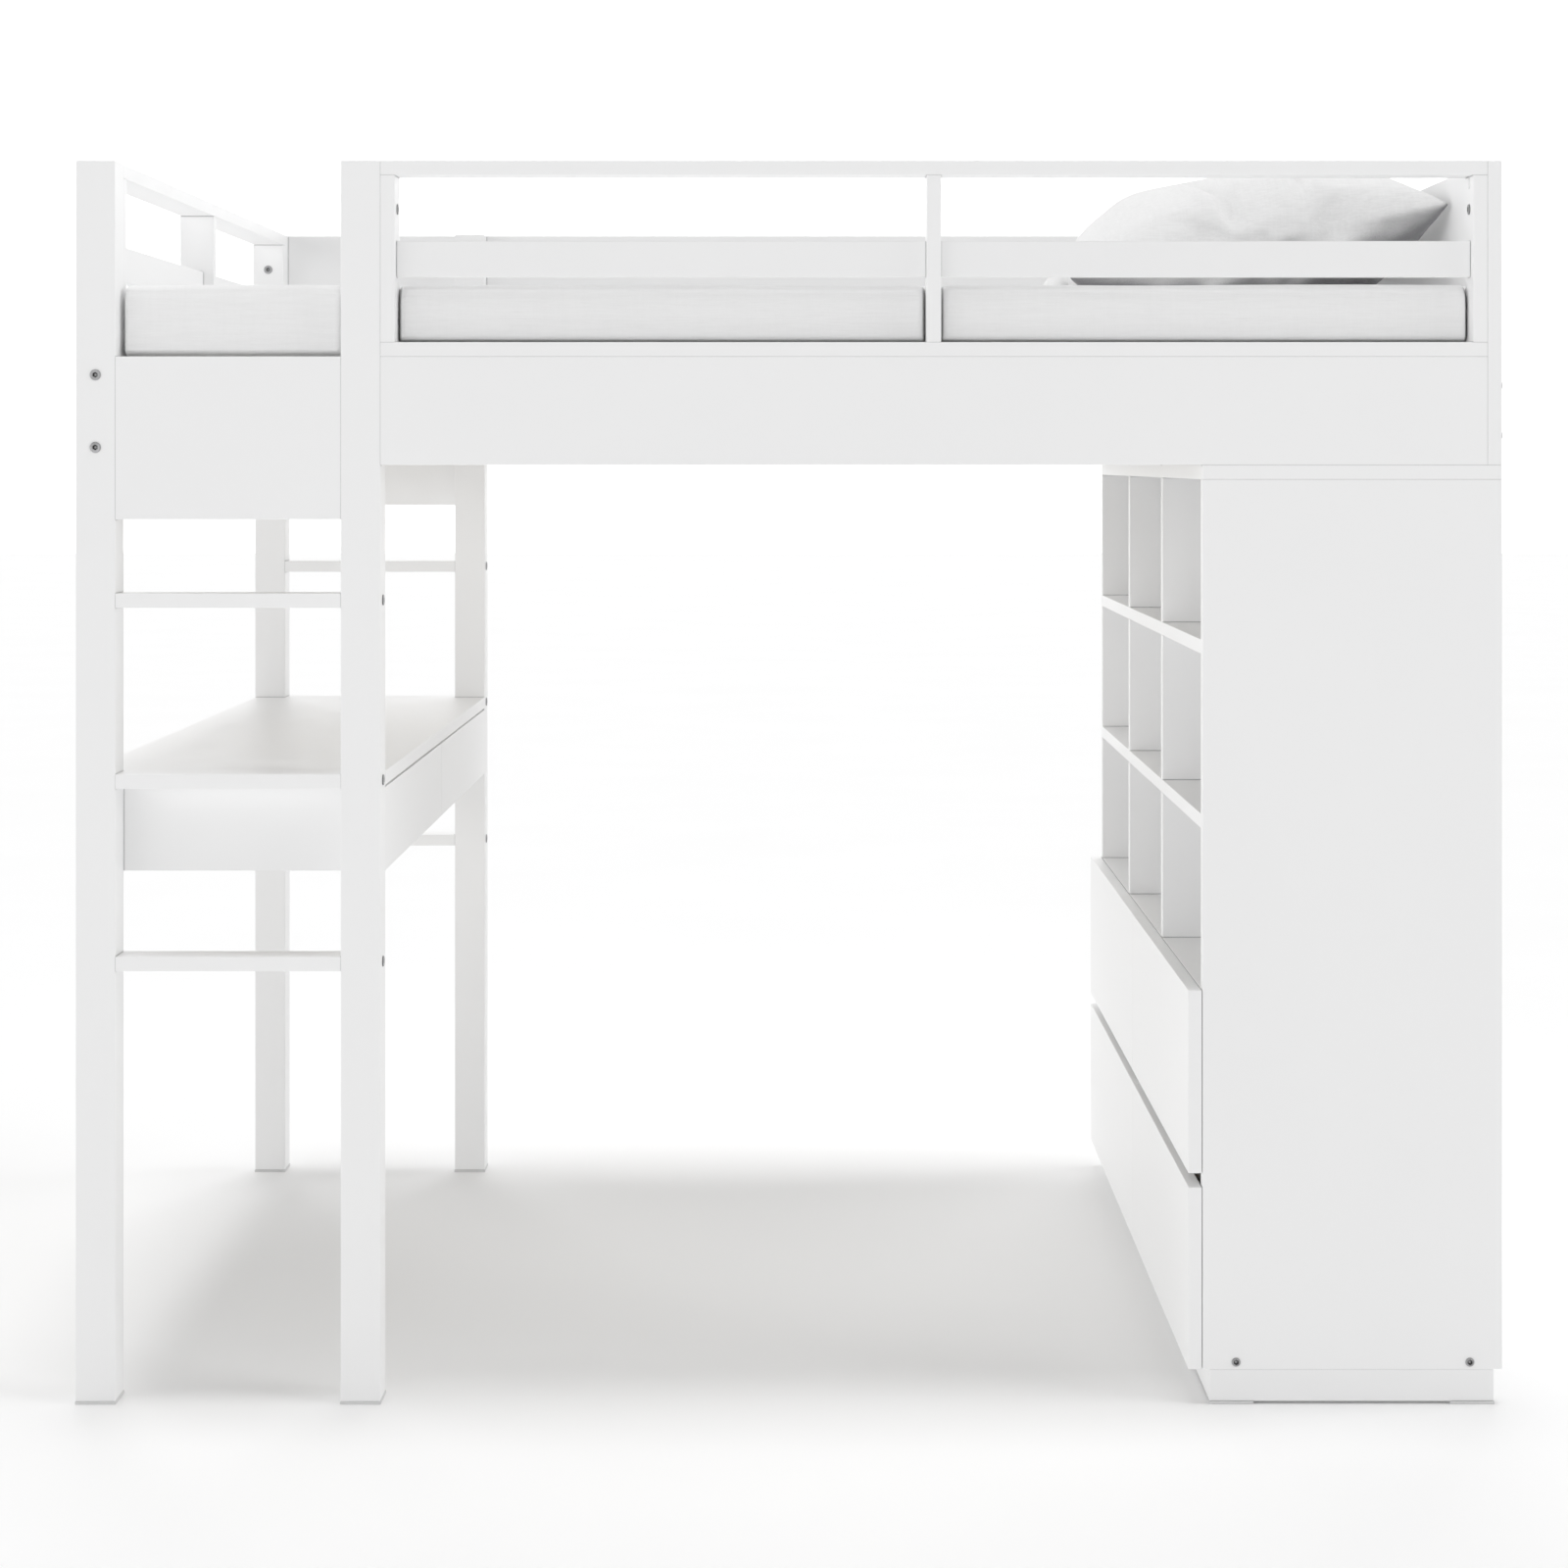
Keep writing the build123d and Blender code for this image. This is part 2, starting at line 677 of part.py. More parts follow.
def wooden_nodes():
    makers = (
        outer_posts,
        inner_posts,
        long_side_rails,
        ladder_bay_rails,
        left_end_rail,
        headboard,
        ladder_rungs,
        front_guard_rails,
        front_guard_uprights,
        front_guard_slats,
        left_guard_rails,
        left_guard_uprights,
        left_guard_slats,
        back_guard_panels,
        slat_cleats,
        support_beams,
        bed_slats,
        desk_top,
        desk_end_aprons,
        desk_outer_panel,
        desk_divider,
        cabinet_top,
        cabinet_sides,
        cabinet_rear_panel,
        cabinet_shelves,
        cubby_dividers,
        cabinet_bottom,
        cabinet_partition,
        cabinet_mid_rails,
        cabinet_plinth,
    )
    holes = [(hole, hole.bounding_box()) for hole in drill_holes()]
    return {make.__name__: [drilled(part, holes) for part in make()] for make in makers}


def fastener_nodes():
    return {
        "long_bolts": [bolt(*spec[:3]) for spec in LONG_BOLTS],
        "panel_bolts": [bolt(*spec[:3], PANEL_HEAD_RADIUS) for spec in PANEL_BOLTS],
        "guard_bolts": [bolt(*spec) for spec in GUARD_BOLTS],
        "barrel_nuts": [barrel_nut(*spec) for spec in LONG_BOLTS + PANEL_BOLTS],
        "insert_nuts": [insert_nut(*spec) for spec in GUARD_BOLTS],
        "ladder_dowels": [dowel(place) for place in dowel_places()],
        "rail_brackets": rail_brackets(),
        "foot_glides": foot_glides(),
    }


def drawer_nodes():
    nodes = {"desk_channels": [], "cabinet_channels": []}
    for group, drawers in (("desk", desk_drawers()), ("cabinet", cabinet_drawers())):
        for name, pieces in drawers.items():
            nodes[f"{group}_channels"] += pieces["channels"]
            nodes[f"{name}_panel"] = pieces["front"]
            nodes[f"{name}_box"] = pieces["box"]
            nodes[f"{name}_runners"] = pieces["runners"]
    return nodes


def main():
    os.makedirs("parts", exist_ok=True)
    nodes = {**wooden_nodes(), **fastener_nodes(), **drawer_nodes()}
    nodes["mattress"] = mattress()
    nodes["pillow"] = pillow()
    for name, solids in nodes.items():
        shape = solids[0] if len(solids) == 1 else Compound(children=solids)
        export_step(shape, f"parts/{name}.step")
    print(len(nodes), "nodes")


main()
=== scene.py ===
import json
import math

import bmesh
import bpy
from mathutils import Matrix, Vector, noise


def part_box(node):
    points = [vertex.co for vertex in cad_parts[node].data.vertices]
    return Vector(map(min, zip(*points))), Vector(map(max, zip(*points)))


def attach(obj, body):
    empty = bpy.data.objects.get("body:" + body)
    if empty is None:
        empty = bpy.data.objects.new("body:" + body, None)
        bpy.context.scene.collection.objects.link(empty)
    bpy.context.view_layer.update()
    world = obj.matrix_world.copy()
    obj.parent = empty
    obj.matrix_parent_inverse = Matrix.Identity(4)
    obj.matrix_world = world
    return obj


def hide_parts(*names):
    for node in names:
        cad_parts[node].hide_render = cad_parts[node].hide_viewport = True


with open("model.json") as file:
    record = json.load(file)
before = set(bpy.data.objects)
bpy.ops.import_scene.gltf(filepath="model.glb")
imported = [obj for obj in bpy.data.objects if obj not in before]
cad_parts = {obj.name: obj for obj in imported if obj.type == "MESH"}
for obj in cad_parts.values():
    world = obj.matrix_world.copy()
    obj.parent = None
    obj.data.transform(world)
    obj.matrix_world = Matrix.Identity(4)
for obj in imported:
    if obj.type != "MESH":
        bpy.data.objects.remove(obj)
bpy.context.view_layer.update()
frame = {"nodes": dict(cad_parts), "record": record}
nodes = frame["nodes"]


# Camera and light

EYE = Vector((0.0205, -5.129, 1.3127))
LENS = 72.3
SENSOR = 36
SHIFT = (-0.0125, -0.2056)

AMBIENT = 0.12
# A faint strip along the horizon and four soft boxes. Each has (from, to) in degrees from the
# camera's side towards the bed's left end, (from, to) as heights on a unit sphere, and brightness
SOFT_BOXES = [
    ((-10, 370), (-0.2, 0.12), 0.5),
    ((18, 70), (-0.2, 0.21), 2.9),
    ((70, 130), (-0.2, 0.5), 1.5),
    ((155, 205), (-0.2, 0.85), 1.75),
    ((250, 300), (-0.2, 0.85), 1.8),
]
BOX_BLUR = (8, 0.06)

OVERHEAD_STRENGTH = 1.42
OVERHEAD_ANGLE = 16
OVERHEAD_HEIGHT = 5
GAMMA = 1.55


def make_camera():
    """A level camera in front of the bed, so that upright edges stay parallel."""
    data = bpy.data.cameras.new("camera")
    data.lens = LENS
    data.sensor_width = SENSOR
    data.shift_x, data.shift_y = SHIFT
    camera = bpy.data.objects.new("camera", data)
    camera.location = EYE
    camera.rotation_euler = (math.radians(90), 0, 0)
    bpy.context.scene.collection.objects.link(camera)
    bpy.context.scene.camera = camera


def within(tree, value, low, high, blur):
    """1 where value lies between low and high, fading to 0 over the blur."""
    rise = spread(tree, value, (low - blur / 2, low + blur / 2), (0, 1))
    fall = spread(tree, value, (high - blur / 2, high + blur / 2), (1, 0))
    return multiply(tree, rise, fall)


def make_world():
    """A studio with soft boxes around the bed, the brightest one at the front left."""
    world = bpy.data.worlds.new("studio")
    world.use_nodes = True
    tree = world.node_tree
    where = add(tree, "ShaderNodeTexCoord")
    parts = add(tree, "ShaderNodeSeparateXYZ", {"Vector": where.outputs["Generated"]})
    angle = math_node(tree, "ARCTAN2", parts.outputs["X"], parts.outputs["Y"])
    turn = spread(tree, angle, (-math.pi, math.pi), (0, 360))
    light = AMBIENT
    for sides, heights, brightness in SOFT_BOXES:
        across = within(tree, turn, *sides, BOX_BLUR[0])
        up = within(tree, parts.outputs["Z"], *heights, BOX_BLUR[1])
        light = plus(tree, multiply(tree, multiply(tree, across, up), brightness), light)
    background = tree.nodes["Background"]
    background.inputs["Color"].default_value = (1, 1, 1, 1)
    tree.links.new(light, background.inputs["Strength"])
    bpy.context.scene.world = world


def make_overhead_light():
    """Soft light from straight above, which leaves a shadow on the floor under the bed."""
    data = bpy.data.lights.new("overhead", "SUN")
    data.energy = OVERHEAD_STRENGTH
    data.angle = math.radians(OVERHEAD_ANGLE)
    light = bpy.data.objects.new("overhead", data)
    light.location = (0, 0, OVERHEAD_HEIGHT)
    bpy.context.scene.collection.objects.link(light)


# Node helpers


def new_material(name):
    material = bpy.data.materials.new(name)
    material.use_nodes = True
    tree = material.node_tree
    return material, tree, tree.nodes["Principled BSDF"]


def add(tree, kind, inputs=None, **settings):
    """A new node. An input is a value, or the output socket that it is linked to."""
    node = tree.nodes.new(kind)
    for key, value in settings.items():
        setattr(node, key, value)
    for key, value in (inputs or {}).items():
        if isinstance(value, bpy.types.NodeSocket):
            tree.links.new(value, node.inputs[key])
        else:
            node.inputs[key].default_value = value
    return node


def math_node(tree, operation, *values):
    node = add(tree, "ShaderNodeMath", dict(enumerate(values)), operation=operation)
    return node.outputs["Value"]


def multiply(tree, one, other):
    return math_node(tree, "MULTIPLY", one, other)


def plus(tree, one, other):
    return math_node(tree, "ADD", one, other)


def place_on_piece(tree, stretch=(1, 1, 1)):
    """Coordinates on the piece in metres, stretched along its axes."""
    where = add(tree, "ShaderNodeTexCoord")
    mapping = add(tree, "ShaderNodeMapping", {"Vector": where.outputs["Object"], "Scale": stretch})
    return mapping.outputs["Vector"]


def noise_value(tree, where, scale, detail=3, roughness=0.5):
    inputs = {"Vector": where, "Scale": scale, "Detail": detail, "Roughness": roughness}
    return add(tree, "ShaderNodeTexNoise", inputs).outputs["Fac"]


def spread(tree, value, source, target):
    """Maps a value from one span to another, and clamps it there."""
    inputs = {"Value": value, "From Min": source[0], "From Max": source[1]}
    inputs |= {"To Min": target[0], "To Max": target[1]}
    return add(tree, "ShaderNodeMapRange", inputs).outputs["Result"]


def ramp(tree, noise_level, low, high):
    """Spreads a noise value, which stays near 0.5, over the span from low to high."""
    return spread(tree, noise_level, (0.3, 0.7), (low, high))


def colour_between(tree, value, one, other):
    """Mixes two colours by a value. The first may be the output of a node."""
    first = one if isinstance(one, bpy.types.NodeSocket) else (*one, 1)
    inputs = {"Factor": value, "A": first}
    mix = add(tree, "ShaderNodeMix", inputs, data_type="RGBA")
    mix.inputs["B"].default_value = (*other, 1)
    return next(o for o in mix.outputs if o.type == "RGBA")


def bump(tree, height, distance, strength=1.0, normal=None):
    inputs = {"Height": height, "Distance": distance, "Strength": strength}
    if normal is not None:
        inputs["Normal"] = normal
    return add(tree, "ShaderNodeBump", inputs).outputs["Normal"]


def grey(level):
    return (level, level, level)


def set_look(tree, shader, colour, roughness, normal):
    tree.links.new(colour, shader.inputs["Base Color"])
    tree.links.new(roughness, shader.inputs["Roughness"])
    tree.links.new(normal, shader.inputs["Normal"])


# Materials


def painted_gap_shade(tree, tone, reach, dark, closed=0.35, free=0.9):
    """Painted shade: colour darkened in narrow gaps, such as the joints between boards, where
    ambient occlusion finds little open air.

    closed and free are the shares of open air at which the shade is full and gone.
    """
    open_air = add(tree, "ShaderNodeAmbientOcclusion", {"Distance": reach}, samples=8)
    share = spread(tree, open_air.outputs["AO"], (closed, free), (1, 0))
    return colour_between(tree, share, tone, dark)


def painted_board():
    """Satin white paint, rolled on: a fine stipple, a little unevenness in tone and gloss, and
    painted shade in the joints between boards.
    """
    material, tree, shader = new_material("white_board")
    where = place_on_piece(tree)
    cloud = ramp(tree, noise_value(tree, where, scale=2.2, detail=2), 0, 1)
    stipple = noise_value(tree, where, scale=700, detail=2)
    mottle = noise_value(tree, where, scale=45)
    tone = colour_between(tree, cloud, (0.925, 0.926, 0.928), (0.94, 0.941, 0.942))
    coarse = bump(tree, mottle, distance=0.00012)
    set_look(
        tree, shader,
        # painted shade: the paint's colour is darkened in the joints between boards
        colour=painted_gap_shade(tree, tone, reach=0.0035, dark=(0.26, 0.26, 0.265)),
        roughness=ramp(tree, mottle, low=0.40, high=0.50),
        normal=bump(tree, stipple, distance=0.00006, normal=coarse),
    )
    shader.inputs["Specular IOR Level"].default_value = 0.45
    return material


def drawer_board():
    """Pale sealed birch board with faint grain."""
    material, tree, shader = new_material("drawer_board")
    grain_place = place_on_piece(tree, stretch=(6, 1.2, 40))
    fine_place = place_on_piece(tree, stretch=(60, 8, 300))
    grain = noise_value(tree, grain_place, scale=5, detail=5, roughness=0.6)
    fine = noise_value(tree, fine_place, scale=5, detail=2)
    tone = colour_between(tree, ramp(tree, grain, 0, 1), (0.70, 0.66, 0.58), (0.77, 0.74, 0.68))
    set_look(
        tree, shader,
        colour=tone,
        roughness=ramp(tree, fine, low=0.46, high=0.6),
        normal=bump(tree, fine, distance=0.00008),
    )
    return material


def pine():
    """Planed pine, with its grain along the slats and a few knots."""
    material, tree, shader = new_material("slat_wood")
    ring_place = place_on_piece(tree, stretch=(26, 1.1, 26))
    streak_place = place_on_piece(tree, stretch=(240, 4, 240))
    knot_place = place_on_piece(tree, stretch=(3, 1.6, 3))
    rings = noise_value(tree, ring_place, scale=3.2, detail=4, roughness=0.55)
    streak = noise_value(tree, streak_place, scale=4)
    knots = add(tree, "ShaderNodeTexVoronoi", {"Vector": knot_place, "Scale": 2.0})
    near_knot = spread(tree, knots.outputs["Distance"], (0.02, 0.07), (1, 0))
    wood = colour_between(tree, ramp(tree, rings, 0, 1), (0.74, 0.68, 0.58), (0.84, 0.80, 0.72))
    set_look(
        tree, shader,
        colour=colour_between(tree, near_knot, wood, (0.25, 0.13, 0.06)),
        roughness=ramp(tree, streak, low=0.5, high=0.68),
        normal=bump(tree, streak, distance=0.0002),
    )
    return material


def steel(name, dark, light, rough, along):
    """Zinc-plated steel with fine drawn lines, and painted shade that turns it nearly black in its
    sockets.
    """
    material, tree, shader = new_material(name)
    lines = noise_value(tree, place_on_piece(tree, stretch=along), scale=8)
    patches = noise_value(tree, place_on_piece(tree), scale=60)
    tone = colour_between(tree, ramp(tree, patches, 0, 1), dark, light)
    set_look(
        tree, shader,
        # painted shade: the colour goes nearly black in sockets and narrow gaps
        colour=painted_gap_shade(tree, tone, reach=0.004, dark=grey(0.004), closed=0.6, free=0.95),
        roughness=ramp(tree, lines, *rough),
        normal=bump(tree, lines, distance=0.00003),
    )
    shader.inputs["Metallic"].default_value = 1
    return material


def glide_plastic():
    """Grained grey plastic."""
    material, tree, shader = new_material("glide_plastic")
    where = place_on_piece(tree)
    grain = noise_value(tree, where, scale=900, detail=2)
    cloud = ramp(tree, noise_value(tree, where, scale=30), 0, 1)
    set_look(
        tree, shader,
        colour=colour_between(tree, cloud, grey(0.56), grey(0.62)),
        roughness=ramp(tree, grain, low=0.5, high=0.62),
        normal=bump(tree, grain, distance=0.0001),
    )
    return material


THREAD_SPACING = 0.0011
SLUB_STRETCH = (9, 150, 150)
CROSS_STRETCH = (120, 9, 9)
SLUB_SHARE = 0.75


def cotton(name, dark, light, shade):
    """Plain-woven cotton: crossed threads, slubs, a soft sheen, and shade where it is covered."""
    material, tree, shader = new_material(name)
    parts = add(tree, "ShaderNodeSeparateXYZ", {"Vector": place_on_piece(tree)})
    down = plus(tree, parts.outputs["Y"], parts.outputs["Z"])
    waves = []
    for value in (parts.outputs["X"], down):
        angle = multiply(tree, value, 2 * math.pi / THREAD_SPACING)
        waves.append(math_node(tree, "SINE", angle))
    weave = multiply(tree, *waves)
    slub_place = place_on_piece(tree, stretch=SLUB_STRETCH)
    cross_place = place_on_piece(tree, stretch=CROSS_STRETCH)
    slub = noise_value(tree, slub_place, scale=2.4, detail=4, roughness=0.7)
    cross_slub = noise_value(tree, cross_place, scale=2.4, roughness=0.6)
    weighted = (multiply(tree, slub, SLUB_SHARE), multiply(tree, cross_slub, 1 - SLUB_SHARE))
    both = plus(tree, *weighted)
    tone = colour_between(tree, ramp(tree, both, 0, 1), dark, light)
    coarse = bump(tree, both, distance=0.0014, strength=0.7)
    set_look(
        tree, shader,
        colour=painted_gap_shade(tree, tone, **shade),
        roughness=ramp(tree, both, low=0.78, high=0.92),
        normal=bump(tree, weave, distance=0.00015, strength=0.5, normal=coarse),
    )
    shader.inputs["Sheen Weight"].default_value = 0.25
    shader.inputs["Sheen Roughness"].default_value = 0.4
    shader.inputs["Specular IOR Level"].default_value = 0.2
    return material


def bolt_steel():
    dark, light = grey(0.2), (0.34, 0.34, 0.35)
    return steel("bolt_steel", dark, light, rough=(0.3, 0.45), along=(40, 40, 300))


def runner_steel():
    dark, light = (0.55, 0.56, 0.57), (0.68, 0.69, 0.70)
    return steel("runner_steel", dark, light, rough=(0.28, 0.42), along=(4, 300, 300))


def sheet_cotton():
    shade = {"reach": 0.006, "dark": grey(0.3)}
    return cotton("mattress_cover", grey(0.89), grey(0.97), shade)


def case_cotton():
    """The pillow's cotton. It is shaded deeply where the pillow meets the mattress."""
    shade = {"reach": 0.25, "dark": (0.1, 0.1, 0.105), "closed": 0.2, "free": 0.68}
    return cotton("pillow_cover", grey(0.8), grey(0.98), shade)


def make_materials():
    return {
        "white_board": painted_board(),
        "drawer_board": drawer_board(),
        "slat_wood": pine(),
        "bolt_steel": bolt_steel(),
        "runner_steel": runner_steel(),
        "glide_plastic": glide_plastic(),
        "mattress_cover": sheet_cotton(),
        "pillow_cover": case_cotton(),
    }


def dress_nodes(materials):
    """Each CAD node takes the material of its slot in the record."""
    for part in frame["record"]["subparts"]:
        mesh = nodes[part["node"]].data
        mesh.materials.clear()
        mesh.materials.append(materials[part["material_slot"]])


# Soft goods

SHOULDER_POWER = 2.5


def add_piece(name, mesh, material):
    piece = bpy.data.objects.new(name, mesh)
    bpy.context.scene.collection.objects.link(piece)
    mesh.materials.append(material)
    for face in mesh.polygons:
        face.use_smooth = True
    return piece


def simulate(mesh, frames, pressure, stiffness, growth, bending):
    """Inflates a closed mesh as cloth with no gravity.

    growth is how much larger the cloth is than the mesh.
    """
    scene = bpy.context.scene
    piece = bpy.data.objects.new("cloth", mesh)
    scene.collection.objects.link(piece)
    cloth = piece.modifiers.new("cloth", "CLOTH")
    settings = cloth.settings
    settings.quality = 5
    settings.mass = 0.2
    settings.air_damping = 3
    settings.tension_stiffness = settings.compression_stiffness = stiffness
    settings.shear_stiffness = stiffness / 3
    settings.bending_stiffness = bending
    settings.tension_damping = settings.compression_damping = settings.shear_damping = 8
    settings.use_pressure = True
    settings.uniform_pressure_force = pressure
    settings.shrink_min = -growth
    settings.effector_weights.gravity = 0
    cloth.collision_settings.use_collision = False
    cloth.collision_settings.use_self_collision = False
    cloth.point_cache.frame_start, cloth.point_cache.frame_end = 1, frames
    for frame_number in range(1, frames + 1):
        scene.frame_set(frame_number)
    evaluated = piece.evaluated_get(bpy.context.evaluated_depsgraph_get())
    result = bpy.data.meshes.new_from_object(evaluated)
    bpy.data.objects.remove(piece)
    return result


def smooth_step(value, start, end):
    share = min(1, max(0, (value - start) / (end - start)))
    return share * share * (3 - 2 * share)


def shoulder(value, start, width):
    """Rises from 0 at start to 1 at start + width, steeply at first, like the side of a cushion."""
    share = min(1, max(0, (value - start) / width))
    return 1 - (1 - share) ** SHOULDER_POWER


def clamp(value, low, high):
    return min(max(value, low), high)


def soften(piece):
    modifier = piece.modifiers.new("soften", "SUBSURF")
    modifier.levels = modifier.render_levels = 1


# Mattress

SHEET_STEP = 0.02
FINE_STEPS = (0.003, 0.006, 0.010, 0.015, 0.022)
EDGE_RADII = Vector((0.008, 0.018, 0.018))
SHEET_MOTION = 0.006
UNEVENNESS = 0.0015
UNEVENNESS_SCALE = 5
SLACK = 0.001
CENTRE_INSET = 0.1
FRONT_BAND = 0.05
FRONT_FADE = 0.03
BAY_BULGE = 0.032
BAY_SHOULDER = 0.009
BAY_SHARE_AT_POST = 0.6
SILL_GAP = 0.001
SEAM_DROP = 0.013
SEAM_DEPTH = 0.003
SEAM_WIDTH = 0.0035
SEAM_WANDER = 0.0015
SEAM_WANDER_SCALE = 6


def grid_places(low, high, lines):
    """Places along one side of the mattress, closer together near its ends and the lines."""
    fine = {low, high}
    for line in (low, high, *lines):
        fine |= {line + sign * step for step in FINE_STEPS for sign in (1, -1)}
    fine = sorted(place for place in fine if low <= place <= high)
    places = []
    for start, end in zip(fine, fine[1:]):
        count = max(1, round((end - start) / SHEET_STEP))
        places += [start + (end - start) * i / count for i in range(count)]
    return places + [high]


def rounded(point, low, high):
    """A point of a block's surface, moved onto the block's rounded edge."""
    core = Vector([clamp(c, a + r, b - r) for c, a, b, r in zip(point, low, high, EDGE_RADII)])
    out = Vector([(c - k) / r for c, k, r in zip(point, core, EDGE_RADII)])
    if out.length <= 1:
        return point
    return Vector([k + o * r for k, o, r in zip(core, out.normalized(), EDGE_RADII)])


def block_in_sheet(name, low, high, bays):
    """A closed block with rounded edges, with more faces along the edges of the bays."""
    lines = [[x for start, end, _ in bays for x in (start, end)], [], [sill for *_, sill in bays]]
    axes = [grid_places(a, b, where) for a, b, where in zip(low, high, lines)]
    last = [len(places) - 1 for places in axes]
    bm = bmesh.new()
    made = {}

    def vertex(index):
        if index not in made:
            place = Vector([places[i] for places, i in zip(axes, index)])
            made[index] = bm.verts.new(rounded(place, low, high))
        return made[index]

    for axis in range(3):
        u, v = [a for a in range(3) if a != axis]
        for end in (0, last[axis]):
            for i in range(last[u]):
                for j in range(last[v]):
                    corners = []
                    for step_u, step_v in ((0, 0), (1, 0), (1, 1), (0, 1)):
                        index = [0, 0, 0]
                        index[axis], index[u], index[v] = end, i + step_u, j + step_v
                        corners.append(vertex(tuple(index)))
                    bm.faces.new(corners)
    bmesh.ops.recalc_face_normals(bm, faces=bm.faces)
    mesh = bpy.data.meshes.new(name)
    bm.to_mesh(mesh)
    bm.free()
    return mesh


def mattress_bays():
    """Where the mattress's front lies free between posts and uprights: x from, x to, z from."""
    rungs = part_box("ladder_rungs")
    low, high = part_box("front_guard_uprights")
    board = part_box("headboard")[1].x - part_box("headboard")[0].x
    middle = (low.x + high.x) / 2
    return [
        (rungs[0].x, rungs[1].x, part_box("ladder_bay_rails")[1].z),
        (low.x + board, middle - board / 2, low.z),
        (middle + board / 2, high.x - board, low.z),
    ]


def bay_bulge(co, low, high, bays):
    """How far the sheet stands proud of the mattress's front, in the bays between the uprights."""
    most = 0
    width = BAY_SHOULDER + BAY_SHOULDER * smooth_step(co.z, high.z - 2 * BAY_SHOULDER, high.z)
    for start, end, sill in bays:
        across = shoulder(-co.x, -end, width)
        if start > low.x:
            across *= shoulder(co.x, start, width)
        else:
            rise = shoulder(co.x, low.x, BAY_SHOULDER)
            across *= BAY_SHARE_AT_POST + (1 - BAY_SHARE_AT_POST) * rise
        up = shoulder(co.z, sill + SILL_GAP, BAY_SHOULDER)
        most = max(most, across * up)
    return BAY_BULGE * most


def seam_groove(co, high):
    """The seam round the top edge, where the cover is joined to the border."""
    place = Vector((co.x * SEAM_WANDER_SCALE, co.y * SEAM_WANDER_SCALE, 0))
    wander = SEAM_WANDER * noise.noise(place)
    gap = (high.z - SEAM_DROP + wander - co.z) / SEAM_WIDTH
    return SEAM_DEPTH * math.exp(-gap * gap)


def make_mattress(material):
    """A mattress in a fitted sheet, which bulges a little between the posts and uprights."""
    low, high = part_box("mattress")
    bays = mattress_bays()
    mesh = block_in_sheet("mattress_in_sheet", low, high, bays)
    flat = []
    for v in mesh.vertices:
        offset = UNEVENNESS * noise.noise(v.co * UNEVENNESS_SCALE)
        flat.append(v.co + offset * v.normal)
    mesh.vertices.foreach_set("co", [c for place in flat for c in place])
    mesh = simulate(mesh, frames=14, pressure=1.2, stiffness=10, growth=0.02, bending=0.3)
    for v, start in zip(mesh.vertices, flat):
        motion = v.co - start
        if motion.length > SHEET_MOTION:
            motion *= SHEET_MOTION / motion.length
        co = start + motion
        for axis in (0, 1):
            co[axis] = clamp(co[axis], low[axis] - SLACK, high[axis] + SLACK)
        front = smooth_step(low.y + FRONT_BAND - co.y, 0, FRONT_FADE)
        centre = co.copy()
        for axis in (0, 1):
            centre[axis] = clamp(co[axis], low[axis] + CENTRE_INSET, high[axis] - CENTRE_INSET)
        co -= (co - centre).normalized() * seam_groove(co, high)
        co.y -= front * bay_bulge(co, low, high, bays)
        v.co = co
    piece = add_piece("mattress_in_sheet", mesh, material)
    soften(piece)
    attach(piece, "bed_frame")
    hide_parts("mattress")


# Pillow

CASE_LENGTH = 0.945
CASE_WIDTH = 0.578
CASE_STEP = 0.0095
CASE_PUFF = 0.02
PILLOW_THICKNESS = 0.262
PILLOW_TILT = 10.9
PILLOW_SHIFT = 0.004
PILLOW_LIFT = 0.073
SHEET_RISE = 0.4
CONTACT_BAND = 0.012
CONTACT_SHARE = 0.9

# Each crease runs from one place on the case to another, and has a depth and a half width
CREASES = [
    ((-0.047, -0.22), (-0.025, -0.43), 0.015, 0.014),
    ((0.109, -0.22), (0.078, -0.44), 0.015, 0.013),
]
CREASE_START = 0.08
CREASE_SPAN = 0.9
CREASE_END = 0.02
CREASE_FADE_HEIGHT = 0.06
LIP_HEIGHT = 0.45
LIP_PLACE = 1.7


def flat_case():
    """An empty pillow case lying flat: two panels that share their outline."""
    nx, ny = round(CASE_WIDTH / CASE_STEP), round(CASE_LENGTH / CASE_STEP)
    bm = bmesh.new()
    made = {}

    def vertex(side, i, j):
        outline = i in (0, nx) or j in (0, ny)
        key = (0 if outline else side, i, j)
        if key not in made:
            u, v = 2 * i / nx - 1, 2 * j / ny - 1
            rise = side * CASE_PUFF * (1 - u**4) * (1 - v**4)
            made[key] = bm.verts.new((u * CASE_WIDTH / 2, v * CASE_LENGTH / 2, rise))
        return made[key]

    for side in (1, -1):
        for i in range(nx):
            for j in range(ny):
                quad = [vertex(side, i + a, j + b) for a, b in ((0, 0), (1, 0), (1, 1), (0, 1))]
                bm.faces.new(quad[::side])
    mesh = bpy.data.meshes.new("pillow_in_case")
    bm.to_mesh(mesh)
    bm.free()
    return mesh


def crease_depth(co):
    """The two soft creases that run down the top of the pillow to its near end."""
    total = 0
    for start, end, depth, width in CREASES:
        line = Vector(end) - Vector(start)
        at = Vector((co.x, co.y)) - Vector(start)
        along = at.dot(line) / line.length_squared
        gap = (at - line * clamp(along, 0, 1)).length
        place = clamp(CREASE_START + CREASE_SPAN * along, CREASE_END, 1)
        fade = math.sin(math.pi * place) ** 0.5
        groove = math.exp(-((gap / width) ** 2))
        lip = math.exp(-(((gap - LIP_PLACE * width) / width) ** 2))
        total += fade * depth * (groove - LIP_HEIGHT * lip)
    return total


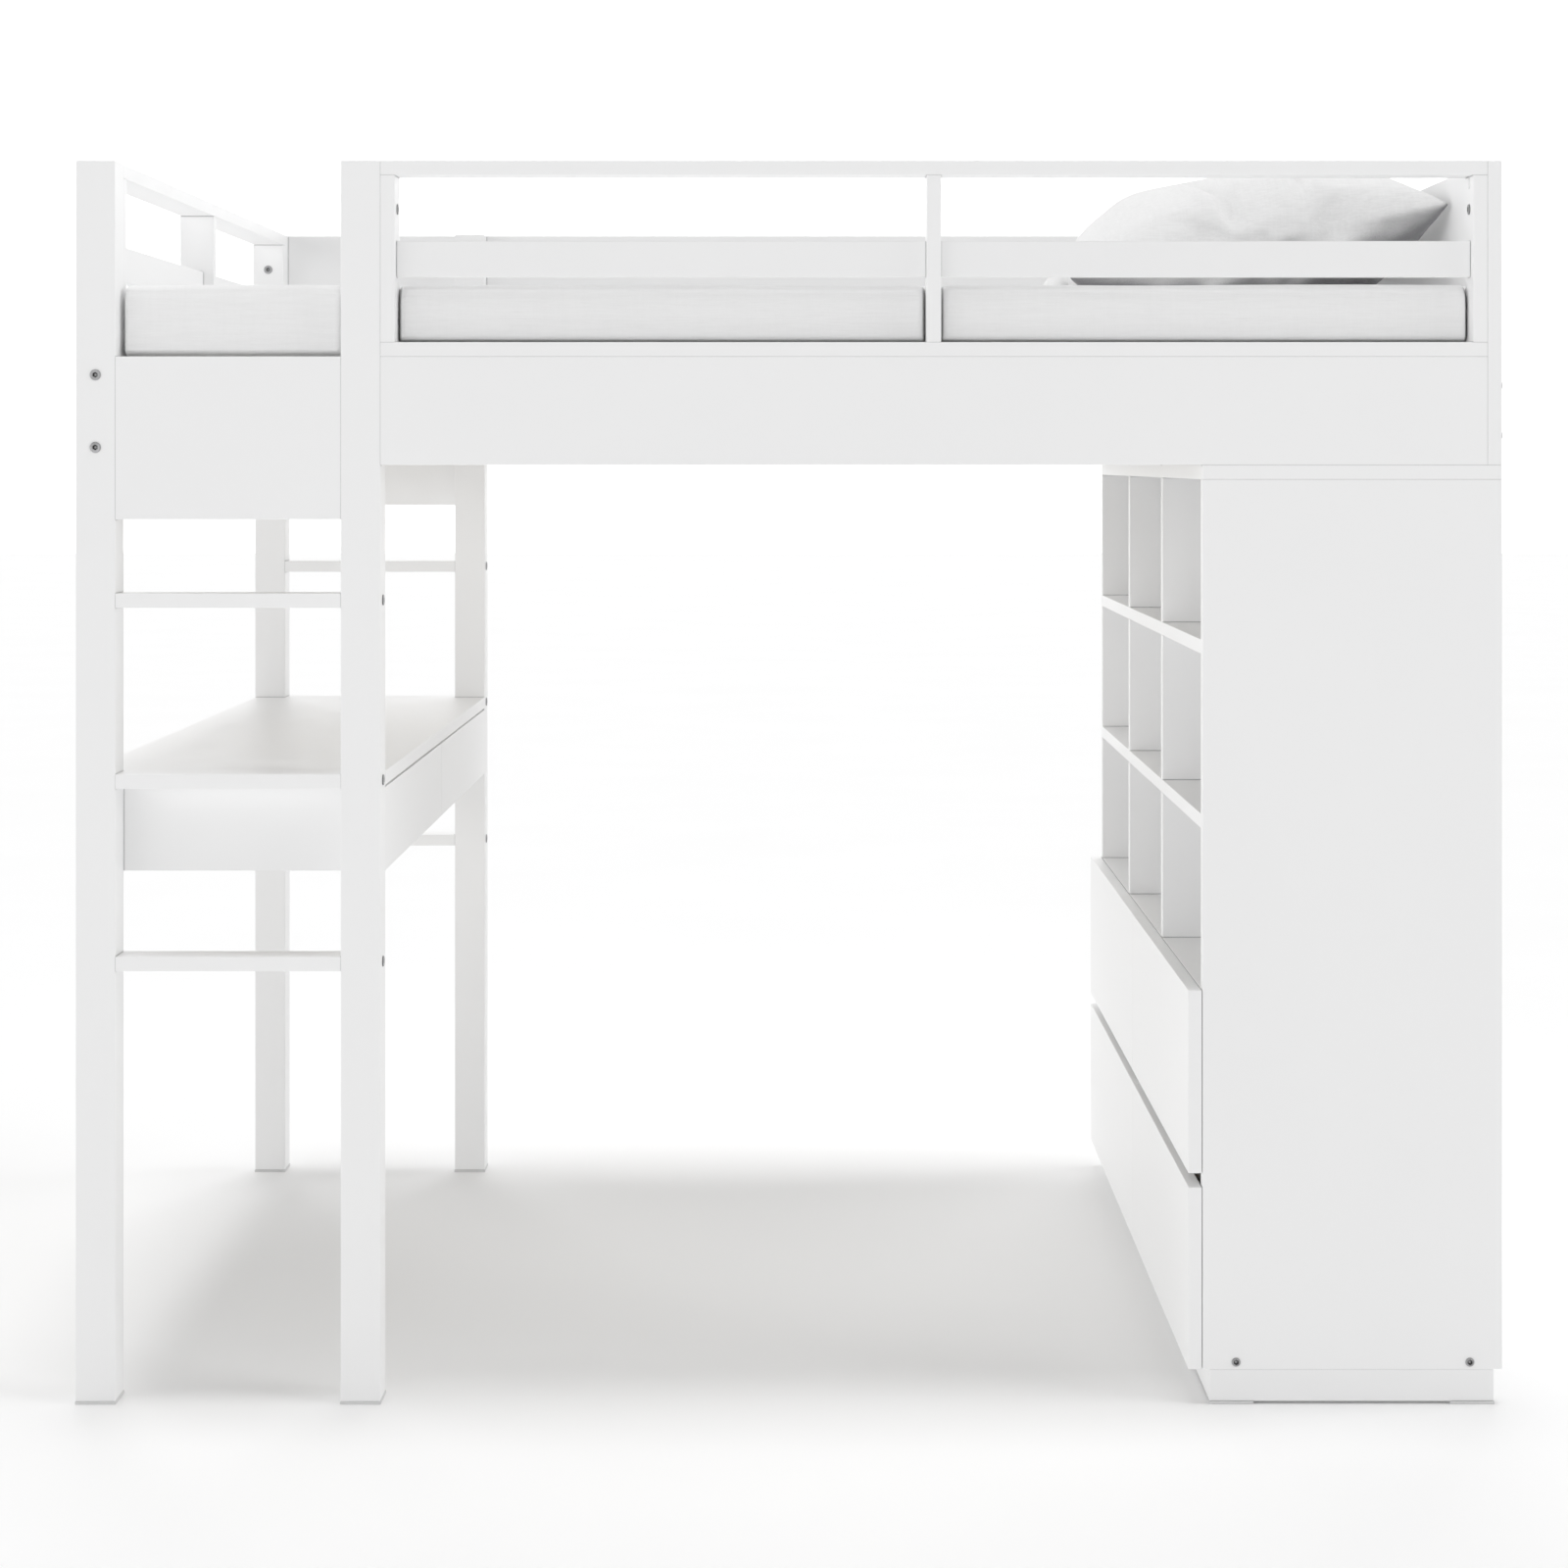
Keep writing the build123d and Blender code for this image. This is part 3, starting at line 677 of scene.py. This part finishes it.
def make_pillow(material):
    """A plump pillow. It lies on the mattress and leans up towards the headboard."""
    low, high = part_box("pillow")
    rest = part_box("mattress")[1].z + SHEET_MOTION * SHEET_RISE
    mesh = flat_case()
    mesh = simulate(mesh, frames=42, pressure=1.6, stiffness=12, growth=0.02, bending=0.1)
    heights = [v.co.z for v in mesh.vertices]
    scale = PILLOW_THICKNESS / (max(heights) - min(heights))
    tilt = Matrix.Rotation(math.radians(-PILLOW_TILT), 3, "Y")
    middle = Vector(((low.x + high.x) / 2 + PILLOW_SHIFT, (low.y + high.y) / 2, rest + PILLOW_LIFT))
    for v in mesh.vertices:
        co = Vector((v.co.x, v.co.y, v.co.z * scale))
        if co.z > 0:
            co.z -= crease_depth(co) * smooth_step(co.z, 0, CREASE_FADE_HEIGHT)
        co = tilt @ co + middle
        sunk = rest - co.z
        if sunk > -CONTACT_BAND:
            fall = math.exp(-(sunk + CONTACT_BAND) / CONTACT_BAND)
            co.z = rest + CONTACT_BAND * fall * CONTACT_SHARE
        v.co = co
    piece = add_piece("pillow_in_case", mesh, material)
    soften(piece)
    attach(piece, "bed_frame")
    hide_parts("pillow")


# Floor

FLOOR_HALF = 40


def make_floor():
    mesh = bpy.data.meshes.new("floor")
    corners = [(x * FLOOR_HALF, y * FLOOR_HALF, 0) for x, y in ((-1, -1), (1, -1), (1, 1), (-1, 1))]
    mesh.from_pydata(corners, [], [(0, 1, 2, 3)])
    floor = bpy.data.objects.new("floor", mesh)
    bpy.context.scene.collection.objects.link(floor)
    material, tree, shader = new_material("floor")
    cloud = ramp(tree, noise_value(tree, place_on_piece(tree), scale=1.5, detail=2), 0, 1)
    tone = colour_between(tree, cloud, grey(0.95), grey(0.97))
    tree.links.new(tone, shader.inputs["Base Color"])
    shader.inputs["Roughness"].default_value = 0.8
    shader.inputs["Specular IOR Level"].default_value = 0.1
    mesh.materials.append(material)


make_camera()
make_world()
make_overhead_light()
make_floor()
materials = make_materials()
dress_nodes(materials)
make_mattress(materials["mattress_cover"])
make_pillow(materials["pillow_cover"])
view = bpy.context.scene.view_settings
view.view_transform = "Standard"
view.gamma = GAMMA
